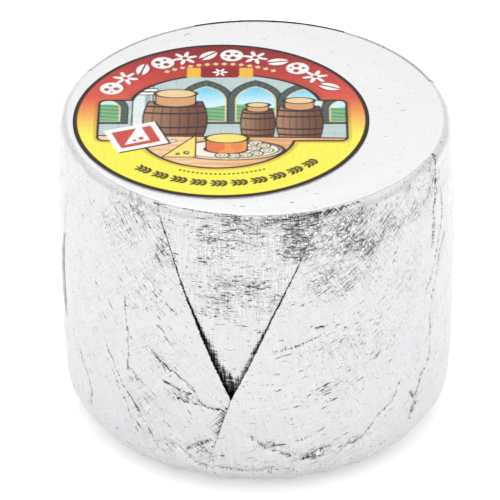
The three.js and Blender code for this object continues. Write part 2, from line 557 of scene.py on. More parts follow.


# Facets: cells with bent outlines in two sizes, each cell with a painted tone of its own from shade to
# highlight, faded in by the crumpling.
def foilFacets(tree, weave, crumpled):
    fineness, reach = foilLook["facetBend"]
    push = scaled(tree, noise(tree, weave, fineness, 2.0, 1), reach * mm)
    bent = node(tree, "VectorMath", {0: weave, 1: push}, operation="ADD")
    darkest, lightest = foilLook["facetShadeAndGlint"]
    tone = 1.0
    for long, wide, low, high in foilLook["facets"]:
        drawn = node(tree, "Mapping", {"Vector": bent, "Scale": (1 / (long * mm), 1 / (wide * mm), 1)})
        cells = node(tree, "TexVoronoi", {"Vector": drawn, "Scale": 1.0}, "Color", voronoi_dimensions="2D")
        cell = node(tree, "SeparateXYZ", {0: cells})
        lit = node(tree, "MapRange", {"Value": cell, "To Min": darkest, "To Max": lightest})
        tone = times(tree, tone, node(tree, "Mix", {0: between(tree, crumpled, low, high), 2: 1.0, 3: lit}))
    return tone


# Bright foil, pressed with linen threads both ways. Crumpling ("crush") brings painted shade and highlights:
# dark flecks, facets painted lighter and darker, and threads shaded darker; the sides are painted darker than
# the top. "shade" is a painted shadow that the threads break up, and the side fold's attribute a plain painted
# shadow.
def foilMaterial():
    material, tree, shader = newMaterial("embossedFoil")
    weave = node(tree, "UVMap", uv_map="weave")
    crush, shade, foldShade = (
        node(tree, "Attribute", output="Fac", attribute_name=name) for name in ("crush", "shade", "foldShade")
    )
    linen = linenThreads(tree, weave, foilLook["threadRun"], foilLook["threadPitch"], 7.3)
    blotch = grain(tree, weave, *foilLook["blotch"], 2.0, offset=11.0)
    crumpled = times(tree, crush, between(tree, blotch, 0.35, 0.65, *foilLook["patchy"]))
    fleck = foilFlecks(tree, weave, crumpled)
    facet = foilFacets(tree, weave, crumpled)
    # Painted shade and highlight on the threads, following their height.
    threads = between(tree, linen, *foilLook["linenSpan"], *foilLook["linenShading"])
    shown = between(tree, crush, 0.0, 0.6, *foilLook["linenShown"])
    threads = node(tree, "Mix", {0: shown, 2: 1.0, 3: threads})
    # Painted shade: the crumpled sides darker than the smooth top.
    sideShade = between(tree, crush, 0.0, 0.1, 1.0, foilLook["sideShade"])
    tone = times(tree, threads, times(tree, facet, sideShade))
    raised = times(tree, arith(tree, "SUBTRACT", linen, 1.0), foilLook["hatch"])
    hatched = between(tree, arith(tree, "SUBTRACT", shade, raised), 0.1, 1.0)
    shaded = times(tree, hatched, between(tree, shade, 0.03, 0.4), True)
    # Painted shade: the base colour is mixed towards near-black in flecks, creases, shadow bands and the side
    # fold.
    darkness = arith(tree, "MAXIMUM", times(tree, fleck, foilLook["fleckDark"]), shaded, True)
    darkness = arith(tree, "MAXIMUM", darkness, foldShade)
    mixed = {"Factor": darkness, 6: scaled(tree, foilLook["colour"], tone), 7: foilLook["creased"]}
    dentLong, dentWide, dentDepth = foilLook["dents"]
    dents = grain(tree, weave, dentLong, dentWide, 3.0, offset=15.0)
    relief = arith(tree, "SUBTRACT", linen, times(tree, fleck, foilLook["fleckDepth"]))
    relief = arith(tree, "ADD", relief, times(tree, dents, times(tree, crumpled, dentDepth)))
    bump = {"Height": relief, "Distance": foilLook["emboss"] * mm, "Strength": 1.0}
    setInputs(tree, shader, {
        "Base Color": node(tree, "Mix", mixed, 2, data_type="RGBA"),
        "Roughness": between(tree, blotch, 0.3, 0.7, *foilLook["roughness"]),
        "Normal": node(tree, "Bump", bump),
        "Metallic": 1.0,
    })
    return material


paperLook = {
    "threads": (7.0, 0.5),  # mm, length and width of the foil's threads under it
    "emboss": 0.016,  # mm
    "fibre": 0.35,  # how much the paper's own fibres show beside the threads
    # the darkest and the palest paper: the fibres' own tone, with painted shade of the pressed threads
    "tone": (0.84, 0.95),
}


# Coated paper, printed in the colours of its own attribute, with the foil's threads showing through a little as
# dents and as painted shade.
def labelMaterial():
    material, tree, shader = newMaterial("printedPaper")
    place = node(tree, "TexCoord", output="Object")
    linen = linenThreads(tree, place, *paperLook["threads"], 4.0)
    fibre = times(tree, noise(tree, place, 2500.0, 3.0), paperLook["fibre"])
    tone = between(tree, arith(tree, "ADD", linen, fibre), 0.8, 1.5, *paperLook["tone"])
    ink = node(tree, "Attribute", output="Color", attribute_name="print")
    bump = {"Height": linen, "Distance": paperLook["emboss"] * mm, "Strength": 1.0}
    setInputs(tree, shader, {
        "Base Color": scaled(tree, ink, tone),
        "Normal": node(tree, "Bump", bump),
        "Roughness": 0.45,
        "Specular IOR Level": 0.12,
    })
    return material


rindLook = {
    "brown": (0.32, 0.13, 0.05, 1),
    "smear": (0.62, 0.36, 0.15, 1),
    "roughness": (0.45, 0.75),
    "grain": 0.2,  # mm
}


# Washed rind: brown with paler smears, a fine damp grain and small pits.
def rindMaterial():
    material, tree, shader = newMaterial("washedRind")
    place = node(tree, "TexCoord", output="Object")
    smear, speck = noise(tree, place, 70.0, 5.0), noise(tree, place, 900.0, 4.0)
    mixed = {"Factor": between(tree, smear, 0.35, 0.65), 6: rindLook["brown"], 7: rindLook["smear"]}
    bump = {"Height": speck, "Distance": rindLook["grain"] * mm, "Strength": 0.8}
    setInputs(tree, shader, {
        "Base Color": node(tree, "Mix", mixed, 2, data_type="RGBA"),
        "Roughness": between(tree, speck, 0.3, 0.7, *rindLook["roughness"]),
        "Normal": node(tree, "Bump", bump),
        "Subsurface Weight": 0.08,
        "Subsurface Scale": 1.5 * mm,
    })
    return material


sheetGrid = {
    "columns": 360,
    "closer": 0.5,  # how much closer the columns stand at the two sides, which no wing covers
    "stations": [(0.02, 1, 44), (1, 2, 9), (2, 3, 108), (3, 4, 24), (4, 5, 30)],
    "wall": 0.25,  # mm of foil and paper, at its thinnest
    "wallStep": 8,  # the inner wall keeps one row in this many
    "backFolds": 0.6,  # the back is creased less than the front
    "topWaves": 0.12,  # height of the flat top's waves
    "droop": 0.35,  # how far the top falls towards the rim, where no label holds it flat
    "topInset": 0.05,  # how far the top keeps inside the outline
    "underTab": 0.3,  # how far the sheet keeps below the finer tab
    "tuckPleats": 0.45,  # depth of the pleats under the wheel
}


# Flattens whatever would pass below the floor, as the wheel's weight does: heights far above it stay as
# they are, and the others end on a soft curve.
def rested(points):
    softness = 0.12
    points[..., 2] = softness * np.logaddexp(0, points[..., 2] / softness)
    return points


# The tab's hollow between the wings, running out under them and towards the rim, and deeper near the tip.
def tabHollow(local, level, station):
    left, right = fromEdges(local, level)
    beyond = np.maximum(left, right)
    hollow = byLevel(level, folds["tabDepth"]) * (1 - ease(beyond, 7, 15)) * (1 - ease(level, 0, -20))
    nearTip = ease(level, 52, 31) * (1 - ease(level, 31, 20))
    return (hollow + folds["tipDepth"] * nearTip * ease(beyond, 2, -3)) * pastRim(station), left, right


# Thread coordinates in millimetres, turned to the panel's own grain.
def weaveOf(u, v, lean):
    return np.stack(turnedAxes(u, v, np.cos(lean), np.sin(lean)), -1).reshape(-1, 2)


# Thread coordinates in millimetres that run round a far point and away from it.
def fannedWeave(u, v):
    across, down = u - grainFan["centre"][0], grainFan["centre"][1] - v
    arc, away = grainFan["reach"] * np.arctan2(across, down), np.hypot(across, down)
    return np.stack([arc, -away], -1).reshape(-1, 2)


# The sheet as one closed body: the outer wall is the outline turned round the axis and moved by the
# wrinkles, creases and the tab's hollow; the inner wall follows it, always a wall's thickness inside.
def foilSheet(material):
    t = stationRuns(sheetGrid["stations"])
    columns, step = sheetGrid["columns"], sheetGrid["wallStep"]
    even = np.linspace(-math.pi, math.pi, columns, endpoint=False)[None]
    angle = even + sheetGrid["closer"] / 2 * np.sin(2 * even) + 0 * t[:, None]
    station = t[:, None] + 0 * angle
    level, turn = levelOf(station), angle / (2 * math.pi)
    front = np.abs(angle) < math.pi / 2
    local = np.where(front, angle, wrapped(angle + math.pi))
    hollow, left, right = tabHollow(local, level, station)
    onSide, fade = pastRim(station), np.where(front, 1, sheetGrid["backFolds"])
    groove, dark, crush = creasesWithShade(local, level)
    side = inSideFold(local, level)
    waves = sheetGrid["topWaves"] * (lattice(turn, station * 3, 12, 5) - 0.5) * ease(station, 0.9, 1)
    flatRadius = outline(station)[0]
    across, back = flatRadius * np.sin(angle), -flatRadius * np.cos(angle)
    pastLabel = np.hypot(across - labelMiddle[0], back - labelMiddle[1]) - labelRadius
    droop = sheetGrid["droop"] * ease(pastLabel, 0, 8) * ease(flatRadius, 42, 51) * (1 - onSide)
    creased = fade * (groove + sideFold["depth"] * side)
    out = onSide * (wrinkles(angle, level, crush) - creased) + waves - hollow - droop
    out = out - sheetGrid["topInset"] * (1 - onSide)
    out = out - sheetGrid["underTab"] * onSide * (np.maximum(left, right) < 3) * (level > 28)
    inward = station - 4
    pleats = ridges(turn + 0.006 * inward, station, 40, 31) * (1.4 - np.clip(inward, 0, 1))
    out = np.where(inward > 0, np.minimum(out, 0) - sheetGrid["tuckPleats"] * pleats, out)
    outer = onWheel(angle, station, out)
    kept = np.r_[np.arange(0, len(t) - 1, step), len(t) - 1]
    padded = np.pad(out, ((step, step), (0, 0)), mode="edge")
    lowest = np.stack([padded[k:k + len(t)] for k in range(2 * step + 1)]).min(0)[kept]
    inner = onWheel(angle[kept], station[kept], lowest - sheetGrid["wall"])
    count, pad = len(t) * columns, len(kept) * columns + 2
    topPole = count + len(kept) * columns
    middle = wheel["lean"] / 2
    poles = [[middle, 0, wheel["height"] - 0.05], [middle, 0, wheel["height"] - 0.6]]
    points = rested(np.concatenate([outer.reshape(-1, 3), inner.reshape(-1, 3), poles]))
    ring = np.arange(columns)
    faces = [
        gridFaces(len(t), columns, True),
        gridFaces(len(kept), columns, True, count)[:, ::-1],
        ringBand(count - columns + ring, topPole - columns + ring),
        poleFan(topPole, ring),
        poleFan(topPole + 1, count + ring, True),
    ]
    down = station > 1.5
    turned = np.where(angle > 0, panelGrain["rightSide"], panelGrain["leftSide"])
    lean = np.where(down & (np.maximum(left, right) > 0), turned, panelGrain["tab"])
    uv = weaveOf(np.where(down, wheel["radius"] * angle, across), np.where(down, level, back), lean)
    # Painted shade of the creases and in the side fold, and the crumpling that brings the painted flecks and
    # facets.
    seen = {
        "shade": fade * dark * ease(station, 1.05, 1.3),
        "crush": ease(station, 1.1, 1.35) * crush,
        "foldShade": fade * sideFold["dark"] * side,
    }
    values = {key: np.pad(numbers.ravel(), (0, pad)) for key, numbers in seen.items()}
    return meshPiece("foil_sheet", points, faces, material, values, np.pad(uv, ((0, pad), (0, 0))))


# A folded panel as one closed body: an outer grid, an inner grid `wall` under it, and four narrow sides.
def panel(name, world, station, out, wall, values, uv, material, mirrored=False):
    outer, inner = onWheel(world, station, out), onWheel(world, station, out - wall)
    rows, columns = station.shape
    count = rows * columns
    grid = gridFaces(rows, columns, False)
    border = borderOf(np.arange(count).reshape(rows, columns))
    band = ringBand(border, border + count)
    back = rows + columns - 2
    band[back:] = np.roll(band[back:], 1, axis=1)
    faces = [grid, (grid + count)[:, ::-1], band]
    if mirrored:
        faces = [group[:, ::-1] for group in faces]
    points = rested(np.concatenate([outer.reshape(-1, 3), inner.reshape(-1, 3)]))
    doubled = {key: np.tile(numbers.ravel(), 2) for key, numbers in values.items()}
    return meshPiece(name, points, faces, material, doubled, np.tile(uv, (2, 1)))


tab = {
    "columns": 190,
    "stations": [(1.3, 2, 10), (2, 2.8, 150)],
    "under": 1.6,  # how far it runs on under each wing
    "wall": 0.1,
    "stand": 0.04,  # how far it stands above its hollow
    "lighter": 0.75,  # the right band of shadow beside the left one
    # by level, the widths of the two bands, and how dark they are
    "leftBand": [
        (30, 5.0), (37, 4.4), (43, 3.2), (48, 2.2), (53, 1.2), (58, 0.6), (64, 0.5), (75, 0.4), (90, 0.3),
    ],
    "rightBand": [(30, 3.2), (38, 2.2), (45, 1.5), (52, 0.9), (56, 0.35), (66, 0.28), (90, 0.15)],
    "strength": [(34, 1.0), (39, 0.82), (45, 0.68), (54, 0.7), (60, 0.8), (74, 0.75), (88, 0.55)],
}


# The tab between the wings: the outline moved by the wrinkles and its own hollow, as far round as the
# wings' two edges. It is in shadow beside them, in two bands that widen towards the tip.
def foilTab(name, turn, material):
    station = stationRuns(tab["stations"])[:, None] + np.zeros((1, tab["columns"]))
    level = levelOf(station)
    margin = tab["under"] / wheel["radius"]
    low, high = wingEdge(level, -1) - margin, wingEdge(level, 1) + margin
    local = low + (high - low) * np.linspace(0, 1, tab["columns"])[None]
    world = local + math.radians(turn)
    hollow, left, right = tabHollow(local, level, station)
    groove, dark, crush = creasesWithShade(local, level)
    onSide = pastRim(station)
    out = onSide * (wrinkles(wrapped(world), level, crush) - groove) - hollow
    out = out - sheetGrid["topInset"] * (1 - onSide) + tab["stand"]
    strength = byLevel(level, tab["strength"])
    uneven = 0.7 + 0.6 * lattice(0.37, level / 2.2, 7, 63)
    shadows = []
    for away, band in ((left, tab["leftBand"]), (right, tab["rightBand"])):
        width = uneven * byLevel(level, band)
        shadows.append(1 - ease(away, -0.25 * width, -width))
    fade = sheetGrid["backFolds"] if turn else 1
    band = np.maximum(shadows[0], tab["lighter"] * shadows[1]) * strength * uneven
    values = {"shade": fade * np.maximum(band, dark) * ease(station, 1.25, 1.5), "crush": crush}
    uv = weaveOf(wheel["radius"] * local, level, panelGrain["tab"])
    return panel(name, world, station, out, tab["wall"], values, uv, material)


wings = {
    "columns": 170,
    "crowded": 1.35,  # how much the columns crowd towards the free edge
    "stations": [(1.2, 2, 12), (2, 3, 140), (3, 4, 28), (4, 4.5, 8)],
    "limit": {1: 62, -1: 69},  # degrees from the front where a wing lies level with the sheet
    "settles": 17,  # distance over which it comes down to that
    "stand": 0.35,  # how far a wing stands above the sheet
    "tipLift": 1.0,  # how far the wings stand off the tab near the tip
    "lapLift": 0.75,  # extra for the upper wing, where it lies on the lower one
    "baseDrop": 0.9,  # how far they sink to the sheet again round the base's edge
    "clear": 0.03,  # least distance above the sheet
    "sink": 0.09,  # how far a wing's ends pass into the sheet
    "wall": (0.06, 0.3),  # thickness at the very edge, and behind its rounding
    "rounding": 0.4,  # how far in from the edge that goes
    "edgeDrop": 0.16,  # how far the outer wall falls there
    "lipShade": 0.6,  # painted shade: a dark line along the free edge
    "lapDark": 0.8,  # the shadow on the lower wing beside the upper one
}


# A wing: its outer wall follows the sheet, stands off it near the free edge, and runs level into it
# at its far side; its inner wall lies under that, and the two meet in the folded edge.
def foilWing(name, hand, turn, material):
    share = np.linspace(0, 1, wings["columns"])[None] ** wings["crowded"]
    station = stationRuns(wings["stations"])[:, None] + 0 * share
    level = levelOf(station)
    edge = wingEdge(level, hand)
    limit = math.radians(wings["limit"][hand]) * hand
    local = edge + (limit - edge) * share
    fromEdge, toFar = np.abs(local - edge) * wheel["radius"], np.abs(limit - local) * wheel["radius"]
    groove, dark, crush = creasesWithShade(local, level)
    nearTip = np.exp(-((level - folds["tip"][1] - 4) / 14) ** 2)
    onSide, settle = pastRim(station), ease(toFar, 0, wings["settles"])
    tipLift = wings["tipLift"] * nearTip * np.exp(-fromEdge / 9)
    stand = wings["stand"] * (1 - 0.75 * ease(level, 45, 80)) + tipLift
    if hand > 0:
        lifted = ease(level, 40, 28) * (1 - 0.75 * ease(level, 22, 6))
        stand = stand + wings["lapLift"] * lifted * (1 - ease(fromEdge, 18, 34))
        stand = stand + 0.2 * np.exp(-fromEdge / 3.5) * ease(level, 34, 24)
    else:
        stand = stand - 0.25 * ease(level, 30, 22) * np.exp(-fromEdge / 22)
    stand = stand - wings["baseDrop"] * ease(station, 2.75, 3.5)
    world = local + math.radians(turn)
    fade = sheetGrid["backFolds"] if turn else 1
    out = stand * settle * onSide + wings["clear"] - wings["sink"] * (1 - settle * onSide)
    out = out + onSide * (wrinkles(wrapped(world), level, crush) - fade * groove)
    out = np.where(station > 4, np.minimum(out, 0.3), out)
    inside = 1 - np.clip(fromEdge / wings["rounding"], 0, 1)
    thin, thick = wings["wall"]
    wall = thin + (thick - thin) * np.sqrt(1 - inside ** 2)
    out = out - wings["edgeDrop"] * inside ** 2
    uneven = 0.35 + 0.9 * ease(lattice(0.21 * hand, level / 2.4, 7, 64), 0.15, 0.7)
    fromRim = ease(level, 89, 84) if hand < 0 else ease(level, 84, 76)
    # Painted shade: a dark line along the free edge, uneven along it.
    lip = wings["lipShade"] * np.exp(-((fromEdge / 0.2) ** 2)) * uneven * fromRim
    lap = np.zeros(level.shape)
    if hand < 0:
        under = (wingEdge(level, 1) - local) * wheel["radius"]
        lap = wings["lapDark"] * np.exp(-np.clip(under, 0, None) / 1.6) * ease(level, 31, 27) * (under < 9)
        lap = lap * (1 - 0.6 * ease(level, 21, 18))
    shade = np.maximum(np.maximum(fade * dark * ease(fromEdge, 0.3, 1.2), lip), lap)
    values = {"shade": shade * ease(station, 1.25, 1.4), "crush": crush}
    around = wheel["radius"] * local
    uv = fannedWeave(around, level) if hand > 0 else weaveOf(around, level, panelGrain["leftWing"])
    return panel(name, world, station, out, wall, values, uv, material, hand < 0)


# Inks, as 0 to 255.
inks = {
    "rim": (56, 44, 40), "line": (44, 38, 36), "white": (250, 248, 244), "cream": (240, 214, 160),
    "wall": (192, 209, 208), "wallShade": (160, 182, 184), "slate": (84, 98, 98), "mortar": (60, 70, 72),
    "skyHigh": (120, 205, 242), "skyLow": (212, 240, 250), "field": (134, 184, 132), "hedge": (84, 142, 104),
    "woodLight": (172, 134, 104), "woodDark": (112, 76, 62), "hoop": (66, 48, 44), "pale": (240, 208, 160),
    "paleSide": (216, 164, 118), "table": (232, 172, 124), "tableLight": (240, 200, 158), "leaf": (66, 56, 32),
    "board": (232, 218, 186), "plate": (246, 238, 218), "slice": (250, 240, 214), "yellow": (252, 226, 120),
    "orange": (240, 156, 88), "orangeDeep": (226, 112, 70), "orangeSoft": (232, 128, 78), "tag": (204, 84, 76),
    "deepRed": (150, 42, 48), "gold": (242, 190, 70), "stone": (226, 236, 234), "steel": (228, 232, 236),
    "shadow": (130, 70, 40),
}

# The ground's colour by the height over the label's middle.
ground = [
    (-40, (252, 242, 84)), (-8, (250, 238, 96)), (-2, (247, 204, 98)), (5, (236, 148, 86)),
    (12, (220, 92, 76)), (25, (192, 66, 64)), (40, (146, 42, 48)),
]

# Rows of ornaments on arcs: radius, first and last bearing, how many, and size.
arcRows = {
    "ornaments": (34.4, 152, 30, 12, 3.75),
    "beads": (29.6, 121, 61, 14, 0.62),
    "sprigs": (33.4, 232, 316, 10, 2.5),
    "dots": (28.8, 248, 294, 20, 0.34),
}

# The scene in the label's window, in millimetres from the label's middle.
scenery = {
    "windows": [(-31.0, 3.0, 5.0), (-4.2, 5.2, 9.2), (9.4, 5.2, 9.2), (22.6, 4.8, 8.2), (33.0, 3.0, 5.0)],
    "barrels": [(-12.6, 8.6, 19.5), (10.0, 4.5, 15.5), (21.4, 6.2, 17.0)],  # middle, half width, height
    "hoops": (0.14, 0.32, 0.7, 0.88),  # shares of a barrel's height
    "barrelFoot": -10.5,
    "pillar": -21.6,
    "slices": [
        (9.4, -12.8), (11.6, -14.2), (9.0, -15.6), (12.4, -16.6), (9.6, -18.2), (6.6, -19.0), (3.4, -19.4),
        (0.4, -19.2),
    ],
}

# An oval, by its half width and half height. Every shape is a distance: below 0 inside it, above 0 outside.
def ovalShape(a, b, ca, cb, wide, high):
    return (np.hypot((a - ca) / wide, (b - cb) / high) - 1) * min(wide, high)


# A box by its half width and half height, with rounded corners.
def boxShape(a, b, ca, cb, wide, high, corner=0.0):
    da, db = np.abs(a - ca) - wide + corner, np.abs(b - cb) - high + corner
    return np.hypot(np.maximum(da, 0), np.maximum(db, 0)) + np.minimum(np.maximum(da, db), 0) - corner


# Stripes of half width `half`, one to each `pitch`.
def stripeShape(x, pitch, half=0.0):
    return np.abs(np.mod(x, pitch) - pitch / 2) - half


# A pointed arch: two circles that cross above straight jambs.
def archShape(a, b, ca, half, spring, foot):
    reach = 0.6 * half
    left, right = np.hypot(a - ca + reach, b - spring), np.hypot(a - ca - reach, b - spring)
    head = np.maximum(left, right) - half - reach
    return np.maximum(np.where(b > spring, head, np.abs(a - ca) - half), foot - b)


# A shape less round holes, whose places and radii are shares of its size.
def pierced(shape, u, v, size, holes):
    for p, q, hole in holes:
        shape = np.maximum(shape, (hole - np.hypot(u / size - p, v / size - q)) * size)
    return shape


# A wedge of cheese: three straight sides, with two holes.
def wedgeShape(u, v, size):
    body = np.maximum(np.maximum(-v - 0.8 * size, 0.62 * v - 0.78 * u - 0.42 * size), u - 0.85 * size)
    return pierced(body, u, v, size, [(0.3, -0.3, 0.2), (-0.25, -0.45, 0.14)])


# A round cheese with holes in it.
def roundCheeseShape(u, v, size):
    holes = [(-0.3, 0.25, 0.2), (0.32, 0.3, 0.13), (0.12, -0.34, 0.22), (-0.45, -0.25, 0.1)]
    return pierced(np.hypot(u, v) - 0.86 * size, u, v, size, holes)


# A flower: its radius swings six times in a turn, round a hole.
def flowerShape(u, v, size):
    petals = np.hypot(u, v) - size * (0.62 + 0.34 * np.cos(6 * np.arctan2(v, u)))
    return np.maximum(petals, 0.2 * size - np.hypot(u, v))


# A leaf with its middle rib, where two circles overlap.
def leafShape(u, v, size):
    p, q = turnedAxes(u, v, 0.8, 0.6)
    blade = np.maximum(np.hypot(p, q - 0.62 * size), np.hypot(p, q + 0.62 * size)) - 1.1 * size
    return np.maximum(blade, 0.07 * size - np.abs(q) + 0.4 * np.maximum(0, -p - 0.5 * size))


# A sprig: a stem with three pairs of oval leaves.
def sprigShape(u, v, size):
    shape = boxShape(u, v, 0, 0, 0.95 * size, 0.09 * size)
    for k in (-0.6, -0.05, 0.5):
        for side in (-1, 1):
            along, over = turnedAxes(u - k * size, v - side * 0.36 * size, 0.8, 0.6 * side)
            shape = np.minimum(shape, ovalShape(along, over, 0, 0, 0.36 * size, 0.17 * size))
    return shape


# Coordinates across and outwards at each place of a row on an arc, and the row's size.
def placesOf(a, b, row):
    radius, first, last, count, size = arcRows[row]
    for bearing in np.linspace(first, last, count):
        right, up = math.cos(math.radians(bearing)), math.sin(math.radians(bearing))
        yield *turnedAxes(a - radius * right, b - radius * up, up, -right), size


# Lays a colour over the picture wherever a shape is, with an edge about one cell wide.
def lay(picture, shape, colour, strength=1.0):
    cover = np.clip(0.5 - shape / labelSheet["edge"], 0, 1)[..., None] * strength
    picture[:] = picture * (1 - cover) + colour * cover


# Paints a shape in one ink.
def paint(picture, shape, ink, strength=1.0):
    lay(picture, shape, np.array(inks[ink]), strength)


# Paints a shape in one ink on a dark one that is `width` larger.
def outlined(picture, shape, ink, width=0.32):
    paint(picture, shape - width, "line")
    paint(picture, shape, ink)


# Colours between two inks, by the second one's share.
def mixedInks(first, second, share):
    share = share[..., None]
    return np.array(inks[first]) * (1 - share) + np.array(inks[second]) * share


# A wooden barrel with staves and hoops, lit from the left, and a small cheese on top of it.
def paintBarrel(picture, a, b, ca, half, high):
    foot = scenery["barrelFoot"]
    middle, crown, width = foot + high / 2, foot + high, 0.62 * half
    swell = half * (1 - 0.16 * ((b - middle) / (high / 2)) ** 2)
    body = np.maximum(np.abs(a - ca) - swell, np.abs(b - middle) - high / 2)
    staves = 0.72 + 0.28 * ease(stripeShape((a - ca) / (swell + 0.1) * 3.5, 1), 0.02, 0.14)
    wood = mixedInks("woodLight", "woodDark", ease((a - ca) / half, -1.1, 0.9)) * staves[..., None]
    paint(picture, body - 0.35, "line")
    lay(picture, body, wood)
    for share in scenery["hoops"]:
        bent = b - foot - share * high + 0.6 * (1 - ((a - ca) / half) ** 2)
        paint(picture, np.maximum(body, np.abs(bent) - 0.38), "hoop")
    side = boxShape(a, b, ca, crown + 0.2 * half, width, 0.28 * half)
    side = np.minimum(side, ovalShape(a, b, ca, crown - 0.06 * half, width, 0.24 * half))
    outlined(picture, side, "paleSide")
    outlined(picture, ovalShape(a, b, ca, crown + 0.5 * half, width, 0.24 * half), "pale")


# A window: a pointed arch of stones, and sky over fields in its opening.
def paintWindow(picture, a, b, ca, half, spring):
    frame = archShape(a, b, ca, half + 2.3, spring, -2.6)
    opening = archShape(a, b, ca, half, spring, -1.2)
    around = np.where(b > spring, np.arctan2(b - spring, a - ca) * 7.5, b)
    outlined(picture, frame, "slate", 0.3)
    paint(picture, np.maximum(frame, stripeShape(around, 1.7, 0.13)), "mortar")
    paint(picture, opening - 0.45, "cream")
    lay(picture, opening, mixedInks("skyLow", "skyHigh", ease(b, 6.5, 18)))
    hills = np.maximum(opening, b - 6.6 - 0.9 * np.sin(0.35 * a))
    paint(picture, hills, "field")
    paint(picture, np.maximum(hills, stripeShape(b + 0.12 * a, 1.9, 0.34)), "hedge", 0.8)


# The room in the label's window: stone arches over fields, barrels, and a cheese on a board on a table.
def paintRoom(a, b):
    course = np.floor((b + 40) / 3.4)
    joints = np.minimum(stripeShape(b + 40, 3.4), stripeShape(a + 3.1 * course, 6.2))
    room = np.array(inks["wall"]) * (0.93 + 0.07 * ease(joints, 0.02, 0.3))[..., None]
    for window in scenery["windows"]:
        paintWindow(room, a, b, *window)
    pillar = scenery["pillar"]
    outlined(room, boxShape(a, b, pillar, 4.0, 2.6, 14), "stone")
    paint(room, boxShape(a, b, pillar + 1.4, 4.0, 0.8, 13.6), "wallShade")
    for up, wide in ((15.2, 3.9), (13.4, 3.3)):
        outlined(room, boxShape(a, b, pillar, up, wide, 0.6, 0.3), "white")
    for barrel in scenery["barrels"]:
        paintBarrel(room, a, b, *barrel)
    table = b + 9.8 + 0.02 * a
    veins = 1 - 0.05 * np.sin(2.6 * b + 0.7 * np.sin(0.4 * a))
    paint(room, table - 0.45, "line")
    lay(room, table, mixedInks("tableLight", "table", ease(a, -14, 16)) * veins[..., None])
    outlined(room, ovalShape(a, b, 2.6, -16.4, 14.0, 5.0), "board")
    outlined(room, ovalShape(a, b, 2.6, -16.1, 13.0, 4.4), "plate", 0.14)
    body = np.minimum(boxShape(a, b, 1.6, -13.2, 5.4, 2.8), ovalShape(a, b, 1.6, -16.0, 5.4, 2.1))
    outlined(room, body, "orange")
    paint(room, np.maximum(body, ovalShape(a, b, -1.4, -14.6, 2.6, 3.0)), "orangeDeep", 0.75)
    paint(room, np.maximum(body, ovalShape(a, b, 4.4, -14.4, 1.6, 2.8)), "orangeSoft", 0.6)
    outlined(room, ovalShape(a, b, 1.6, -10.4, 5.4, 2.2), "yellow")
    for ca, cb in scenery["slices"]:
        outlined(room, ovalShape(a, b, ca, cb, 1.7, 1.05), "slice", 0.22)
        paint(room, np.abs(ovalShape(a, b, ca, cb, 0.85, 0.5)) - 0.09, "line", 0.7)
    outlined(room, wedgeShape(a + 10.5, b + 16.6, 4.2), "yellow")
    u, v = turnedAxes(a + 15.4, b + 12.6, 0.94, 0.34)
    outlined(room, boxShape(u, v, 0, 0, 3.4, 0.5, 0.4), "steel", 0.2)
    return room


# The whole print by (a, b), across and up, as linear colour: the ground, the window, the rows of ornaments,
# the panel over the window, the tag, and the rim.
def labelPrint(a, b):
    heights, colours = zip(*ground)
    picture = np.stack([np.interp(b, heights, part) for part in zip(*colours)], -1)
    picture = picture * (1 - 0.1 * np.exp(-((a / 17) ** 2)) * ease(b, 20, 38))[..., None]
    window = np.minimum(boxShape(a, b, 0.4, -1.0, 33.6, 10.4, 1.6), ovalShape(a, b, 1.2, 7.6, 25.5, 15.8))
    window = np.minimum(window, ovalShape(a, b, -0.8, -9.2, 20.5, 16.2))
    paint(picture, window - 1.5, "shadow", 0.22)
    paint(picture, window - 0.62, "line")
    lay(picture, window, paintRoom(a, b))
    for k, (u, v, size) in enumerate(placesOf(a, b, "ornaments")):
        shape = (roundCheeseShape, flowerShape, leafShape)[k % 3]
        paint(picture, shape(u - 0.32, v + 0.42, size), "deepRed", 0.85)
        paint(picture, shape(u, v, size), "white")
    for u, v, size in placesOf(a, b, "beads"):
        paint(picture, (np.abs(u) + np.abs(v)) * 0.7 - size, "cream")
    for u, v, size in placesOf(a, b, "sprigs"):
        paint(picture, sprigShape(u, v, size), "leaf")
    for u, v, size in placesOf(a, b, "dots"):
        paint(picture, np.hypot(u, v) - size, "leaf")
    for side in (-1, 1):
        paint(picture, boxShape(a, b, -0.5 + side * 7.3, 24.7, 1.9, 2.7), "gold")
    paint(picture, boxShape(a, b, -0.5, 25.0, 5.1, 2.9), "deepRed")
    paint(picture, flowerShape(a + 0.5, b - 25.0, 2.3), "white")
    u, v = turnedAxes(a + 23.0, b + 9.7, 0.94, 0.342)
    paint(picture, boxShape(u, v, 0.5, -0.55, 7.3, 6.0), "line", 0.9)
    paint(picture, boxShape(u, v, 0, 0, 7.3, 6.0), "white")
    paint(picture, boxShape(u, v, 0, 0, 5.6, 4.3), "tag")
    paint(picture, wedgeShape(u, v, 3.6), "white")
    paint(picture, 39.35 - np.hypot(a, b), "rim")
    tone = np.clip(picture / 255, 0, 1)
    return np.where(tone < 0.04045, tone / 12.92, ((tone + 0.055) / 1.055) ** 2.4)


labelSheet = {
    "cells": 304,
    "below": 0.2,  # how far it reaches down onto the foil
    "curl": 0.05,
    "edge": 0.24,  # width of a printed edge
    "paper": 0.82,  # tone of its unprinted side
}


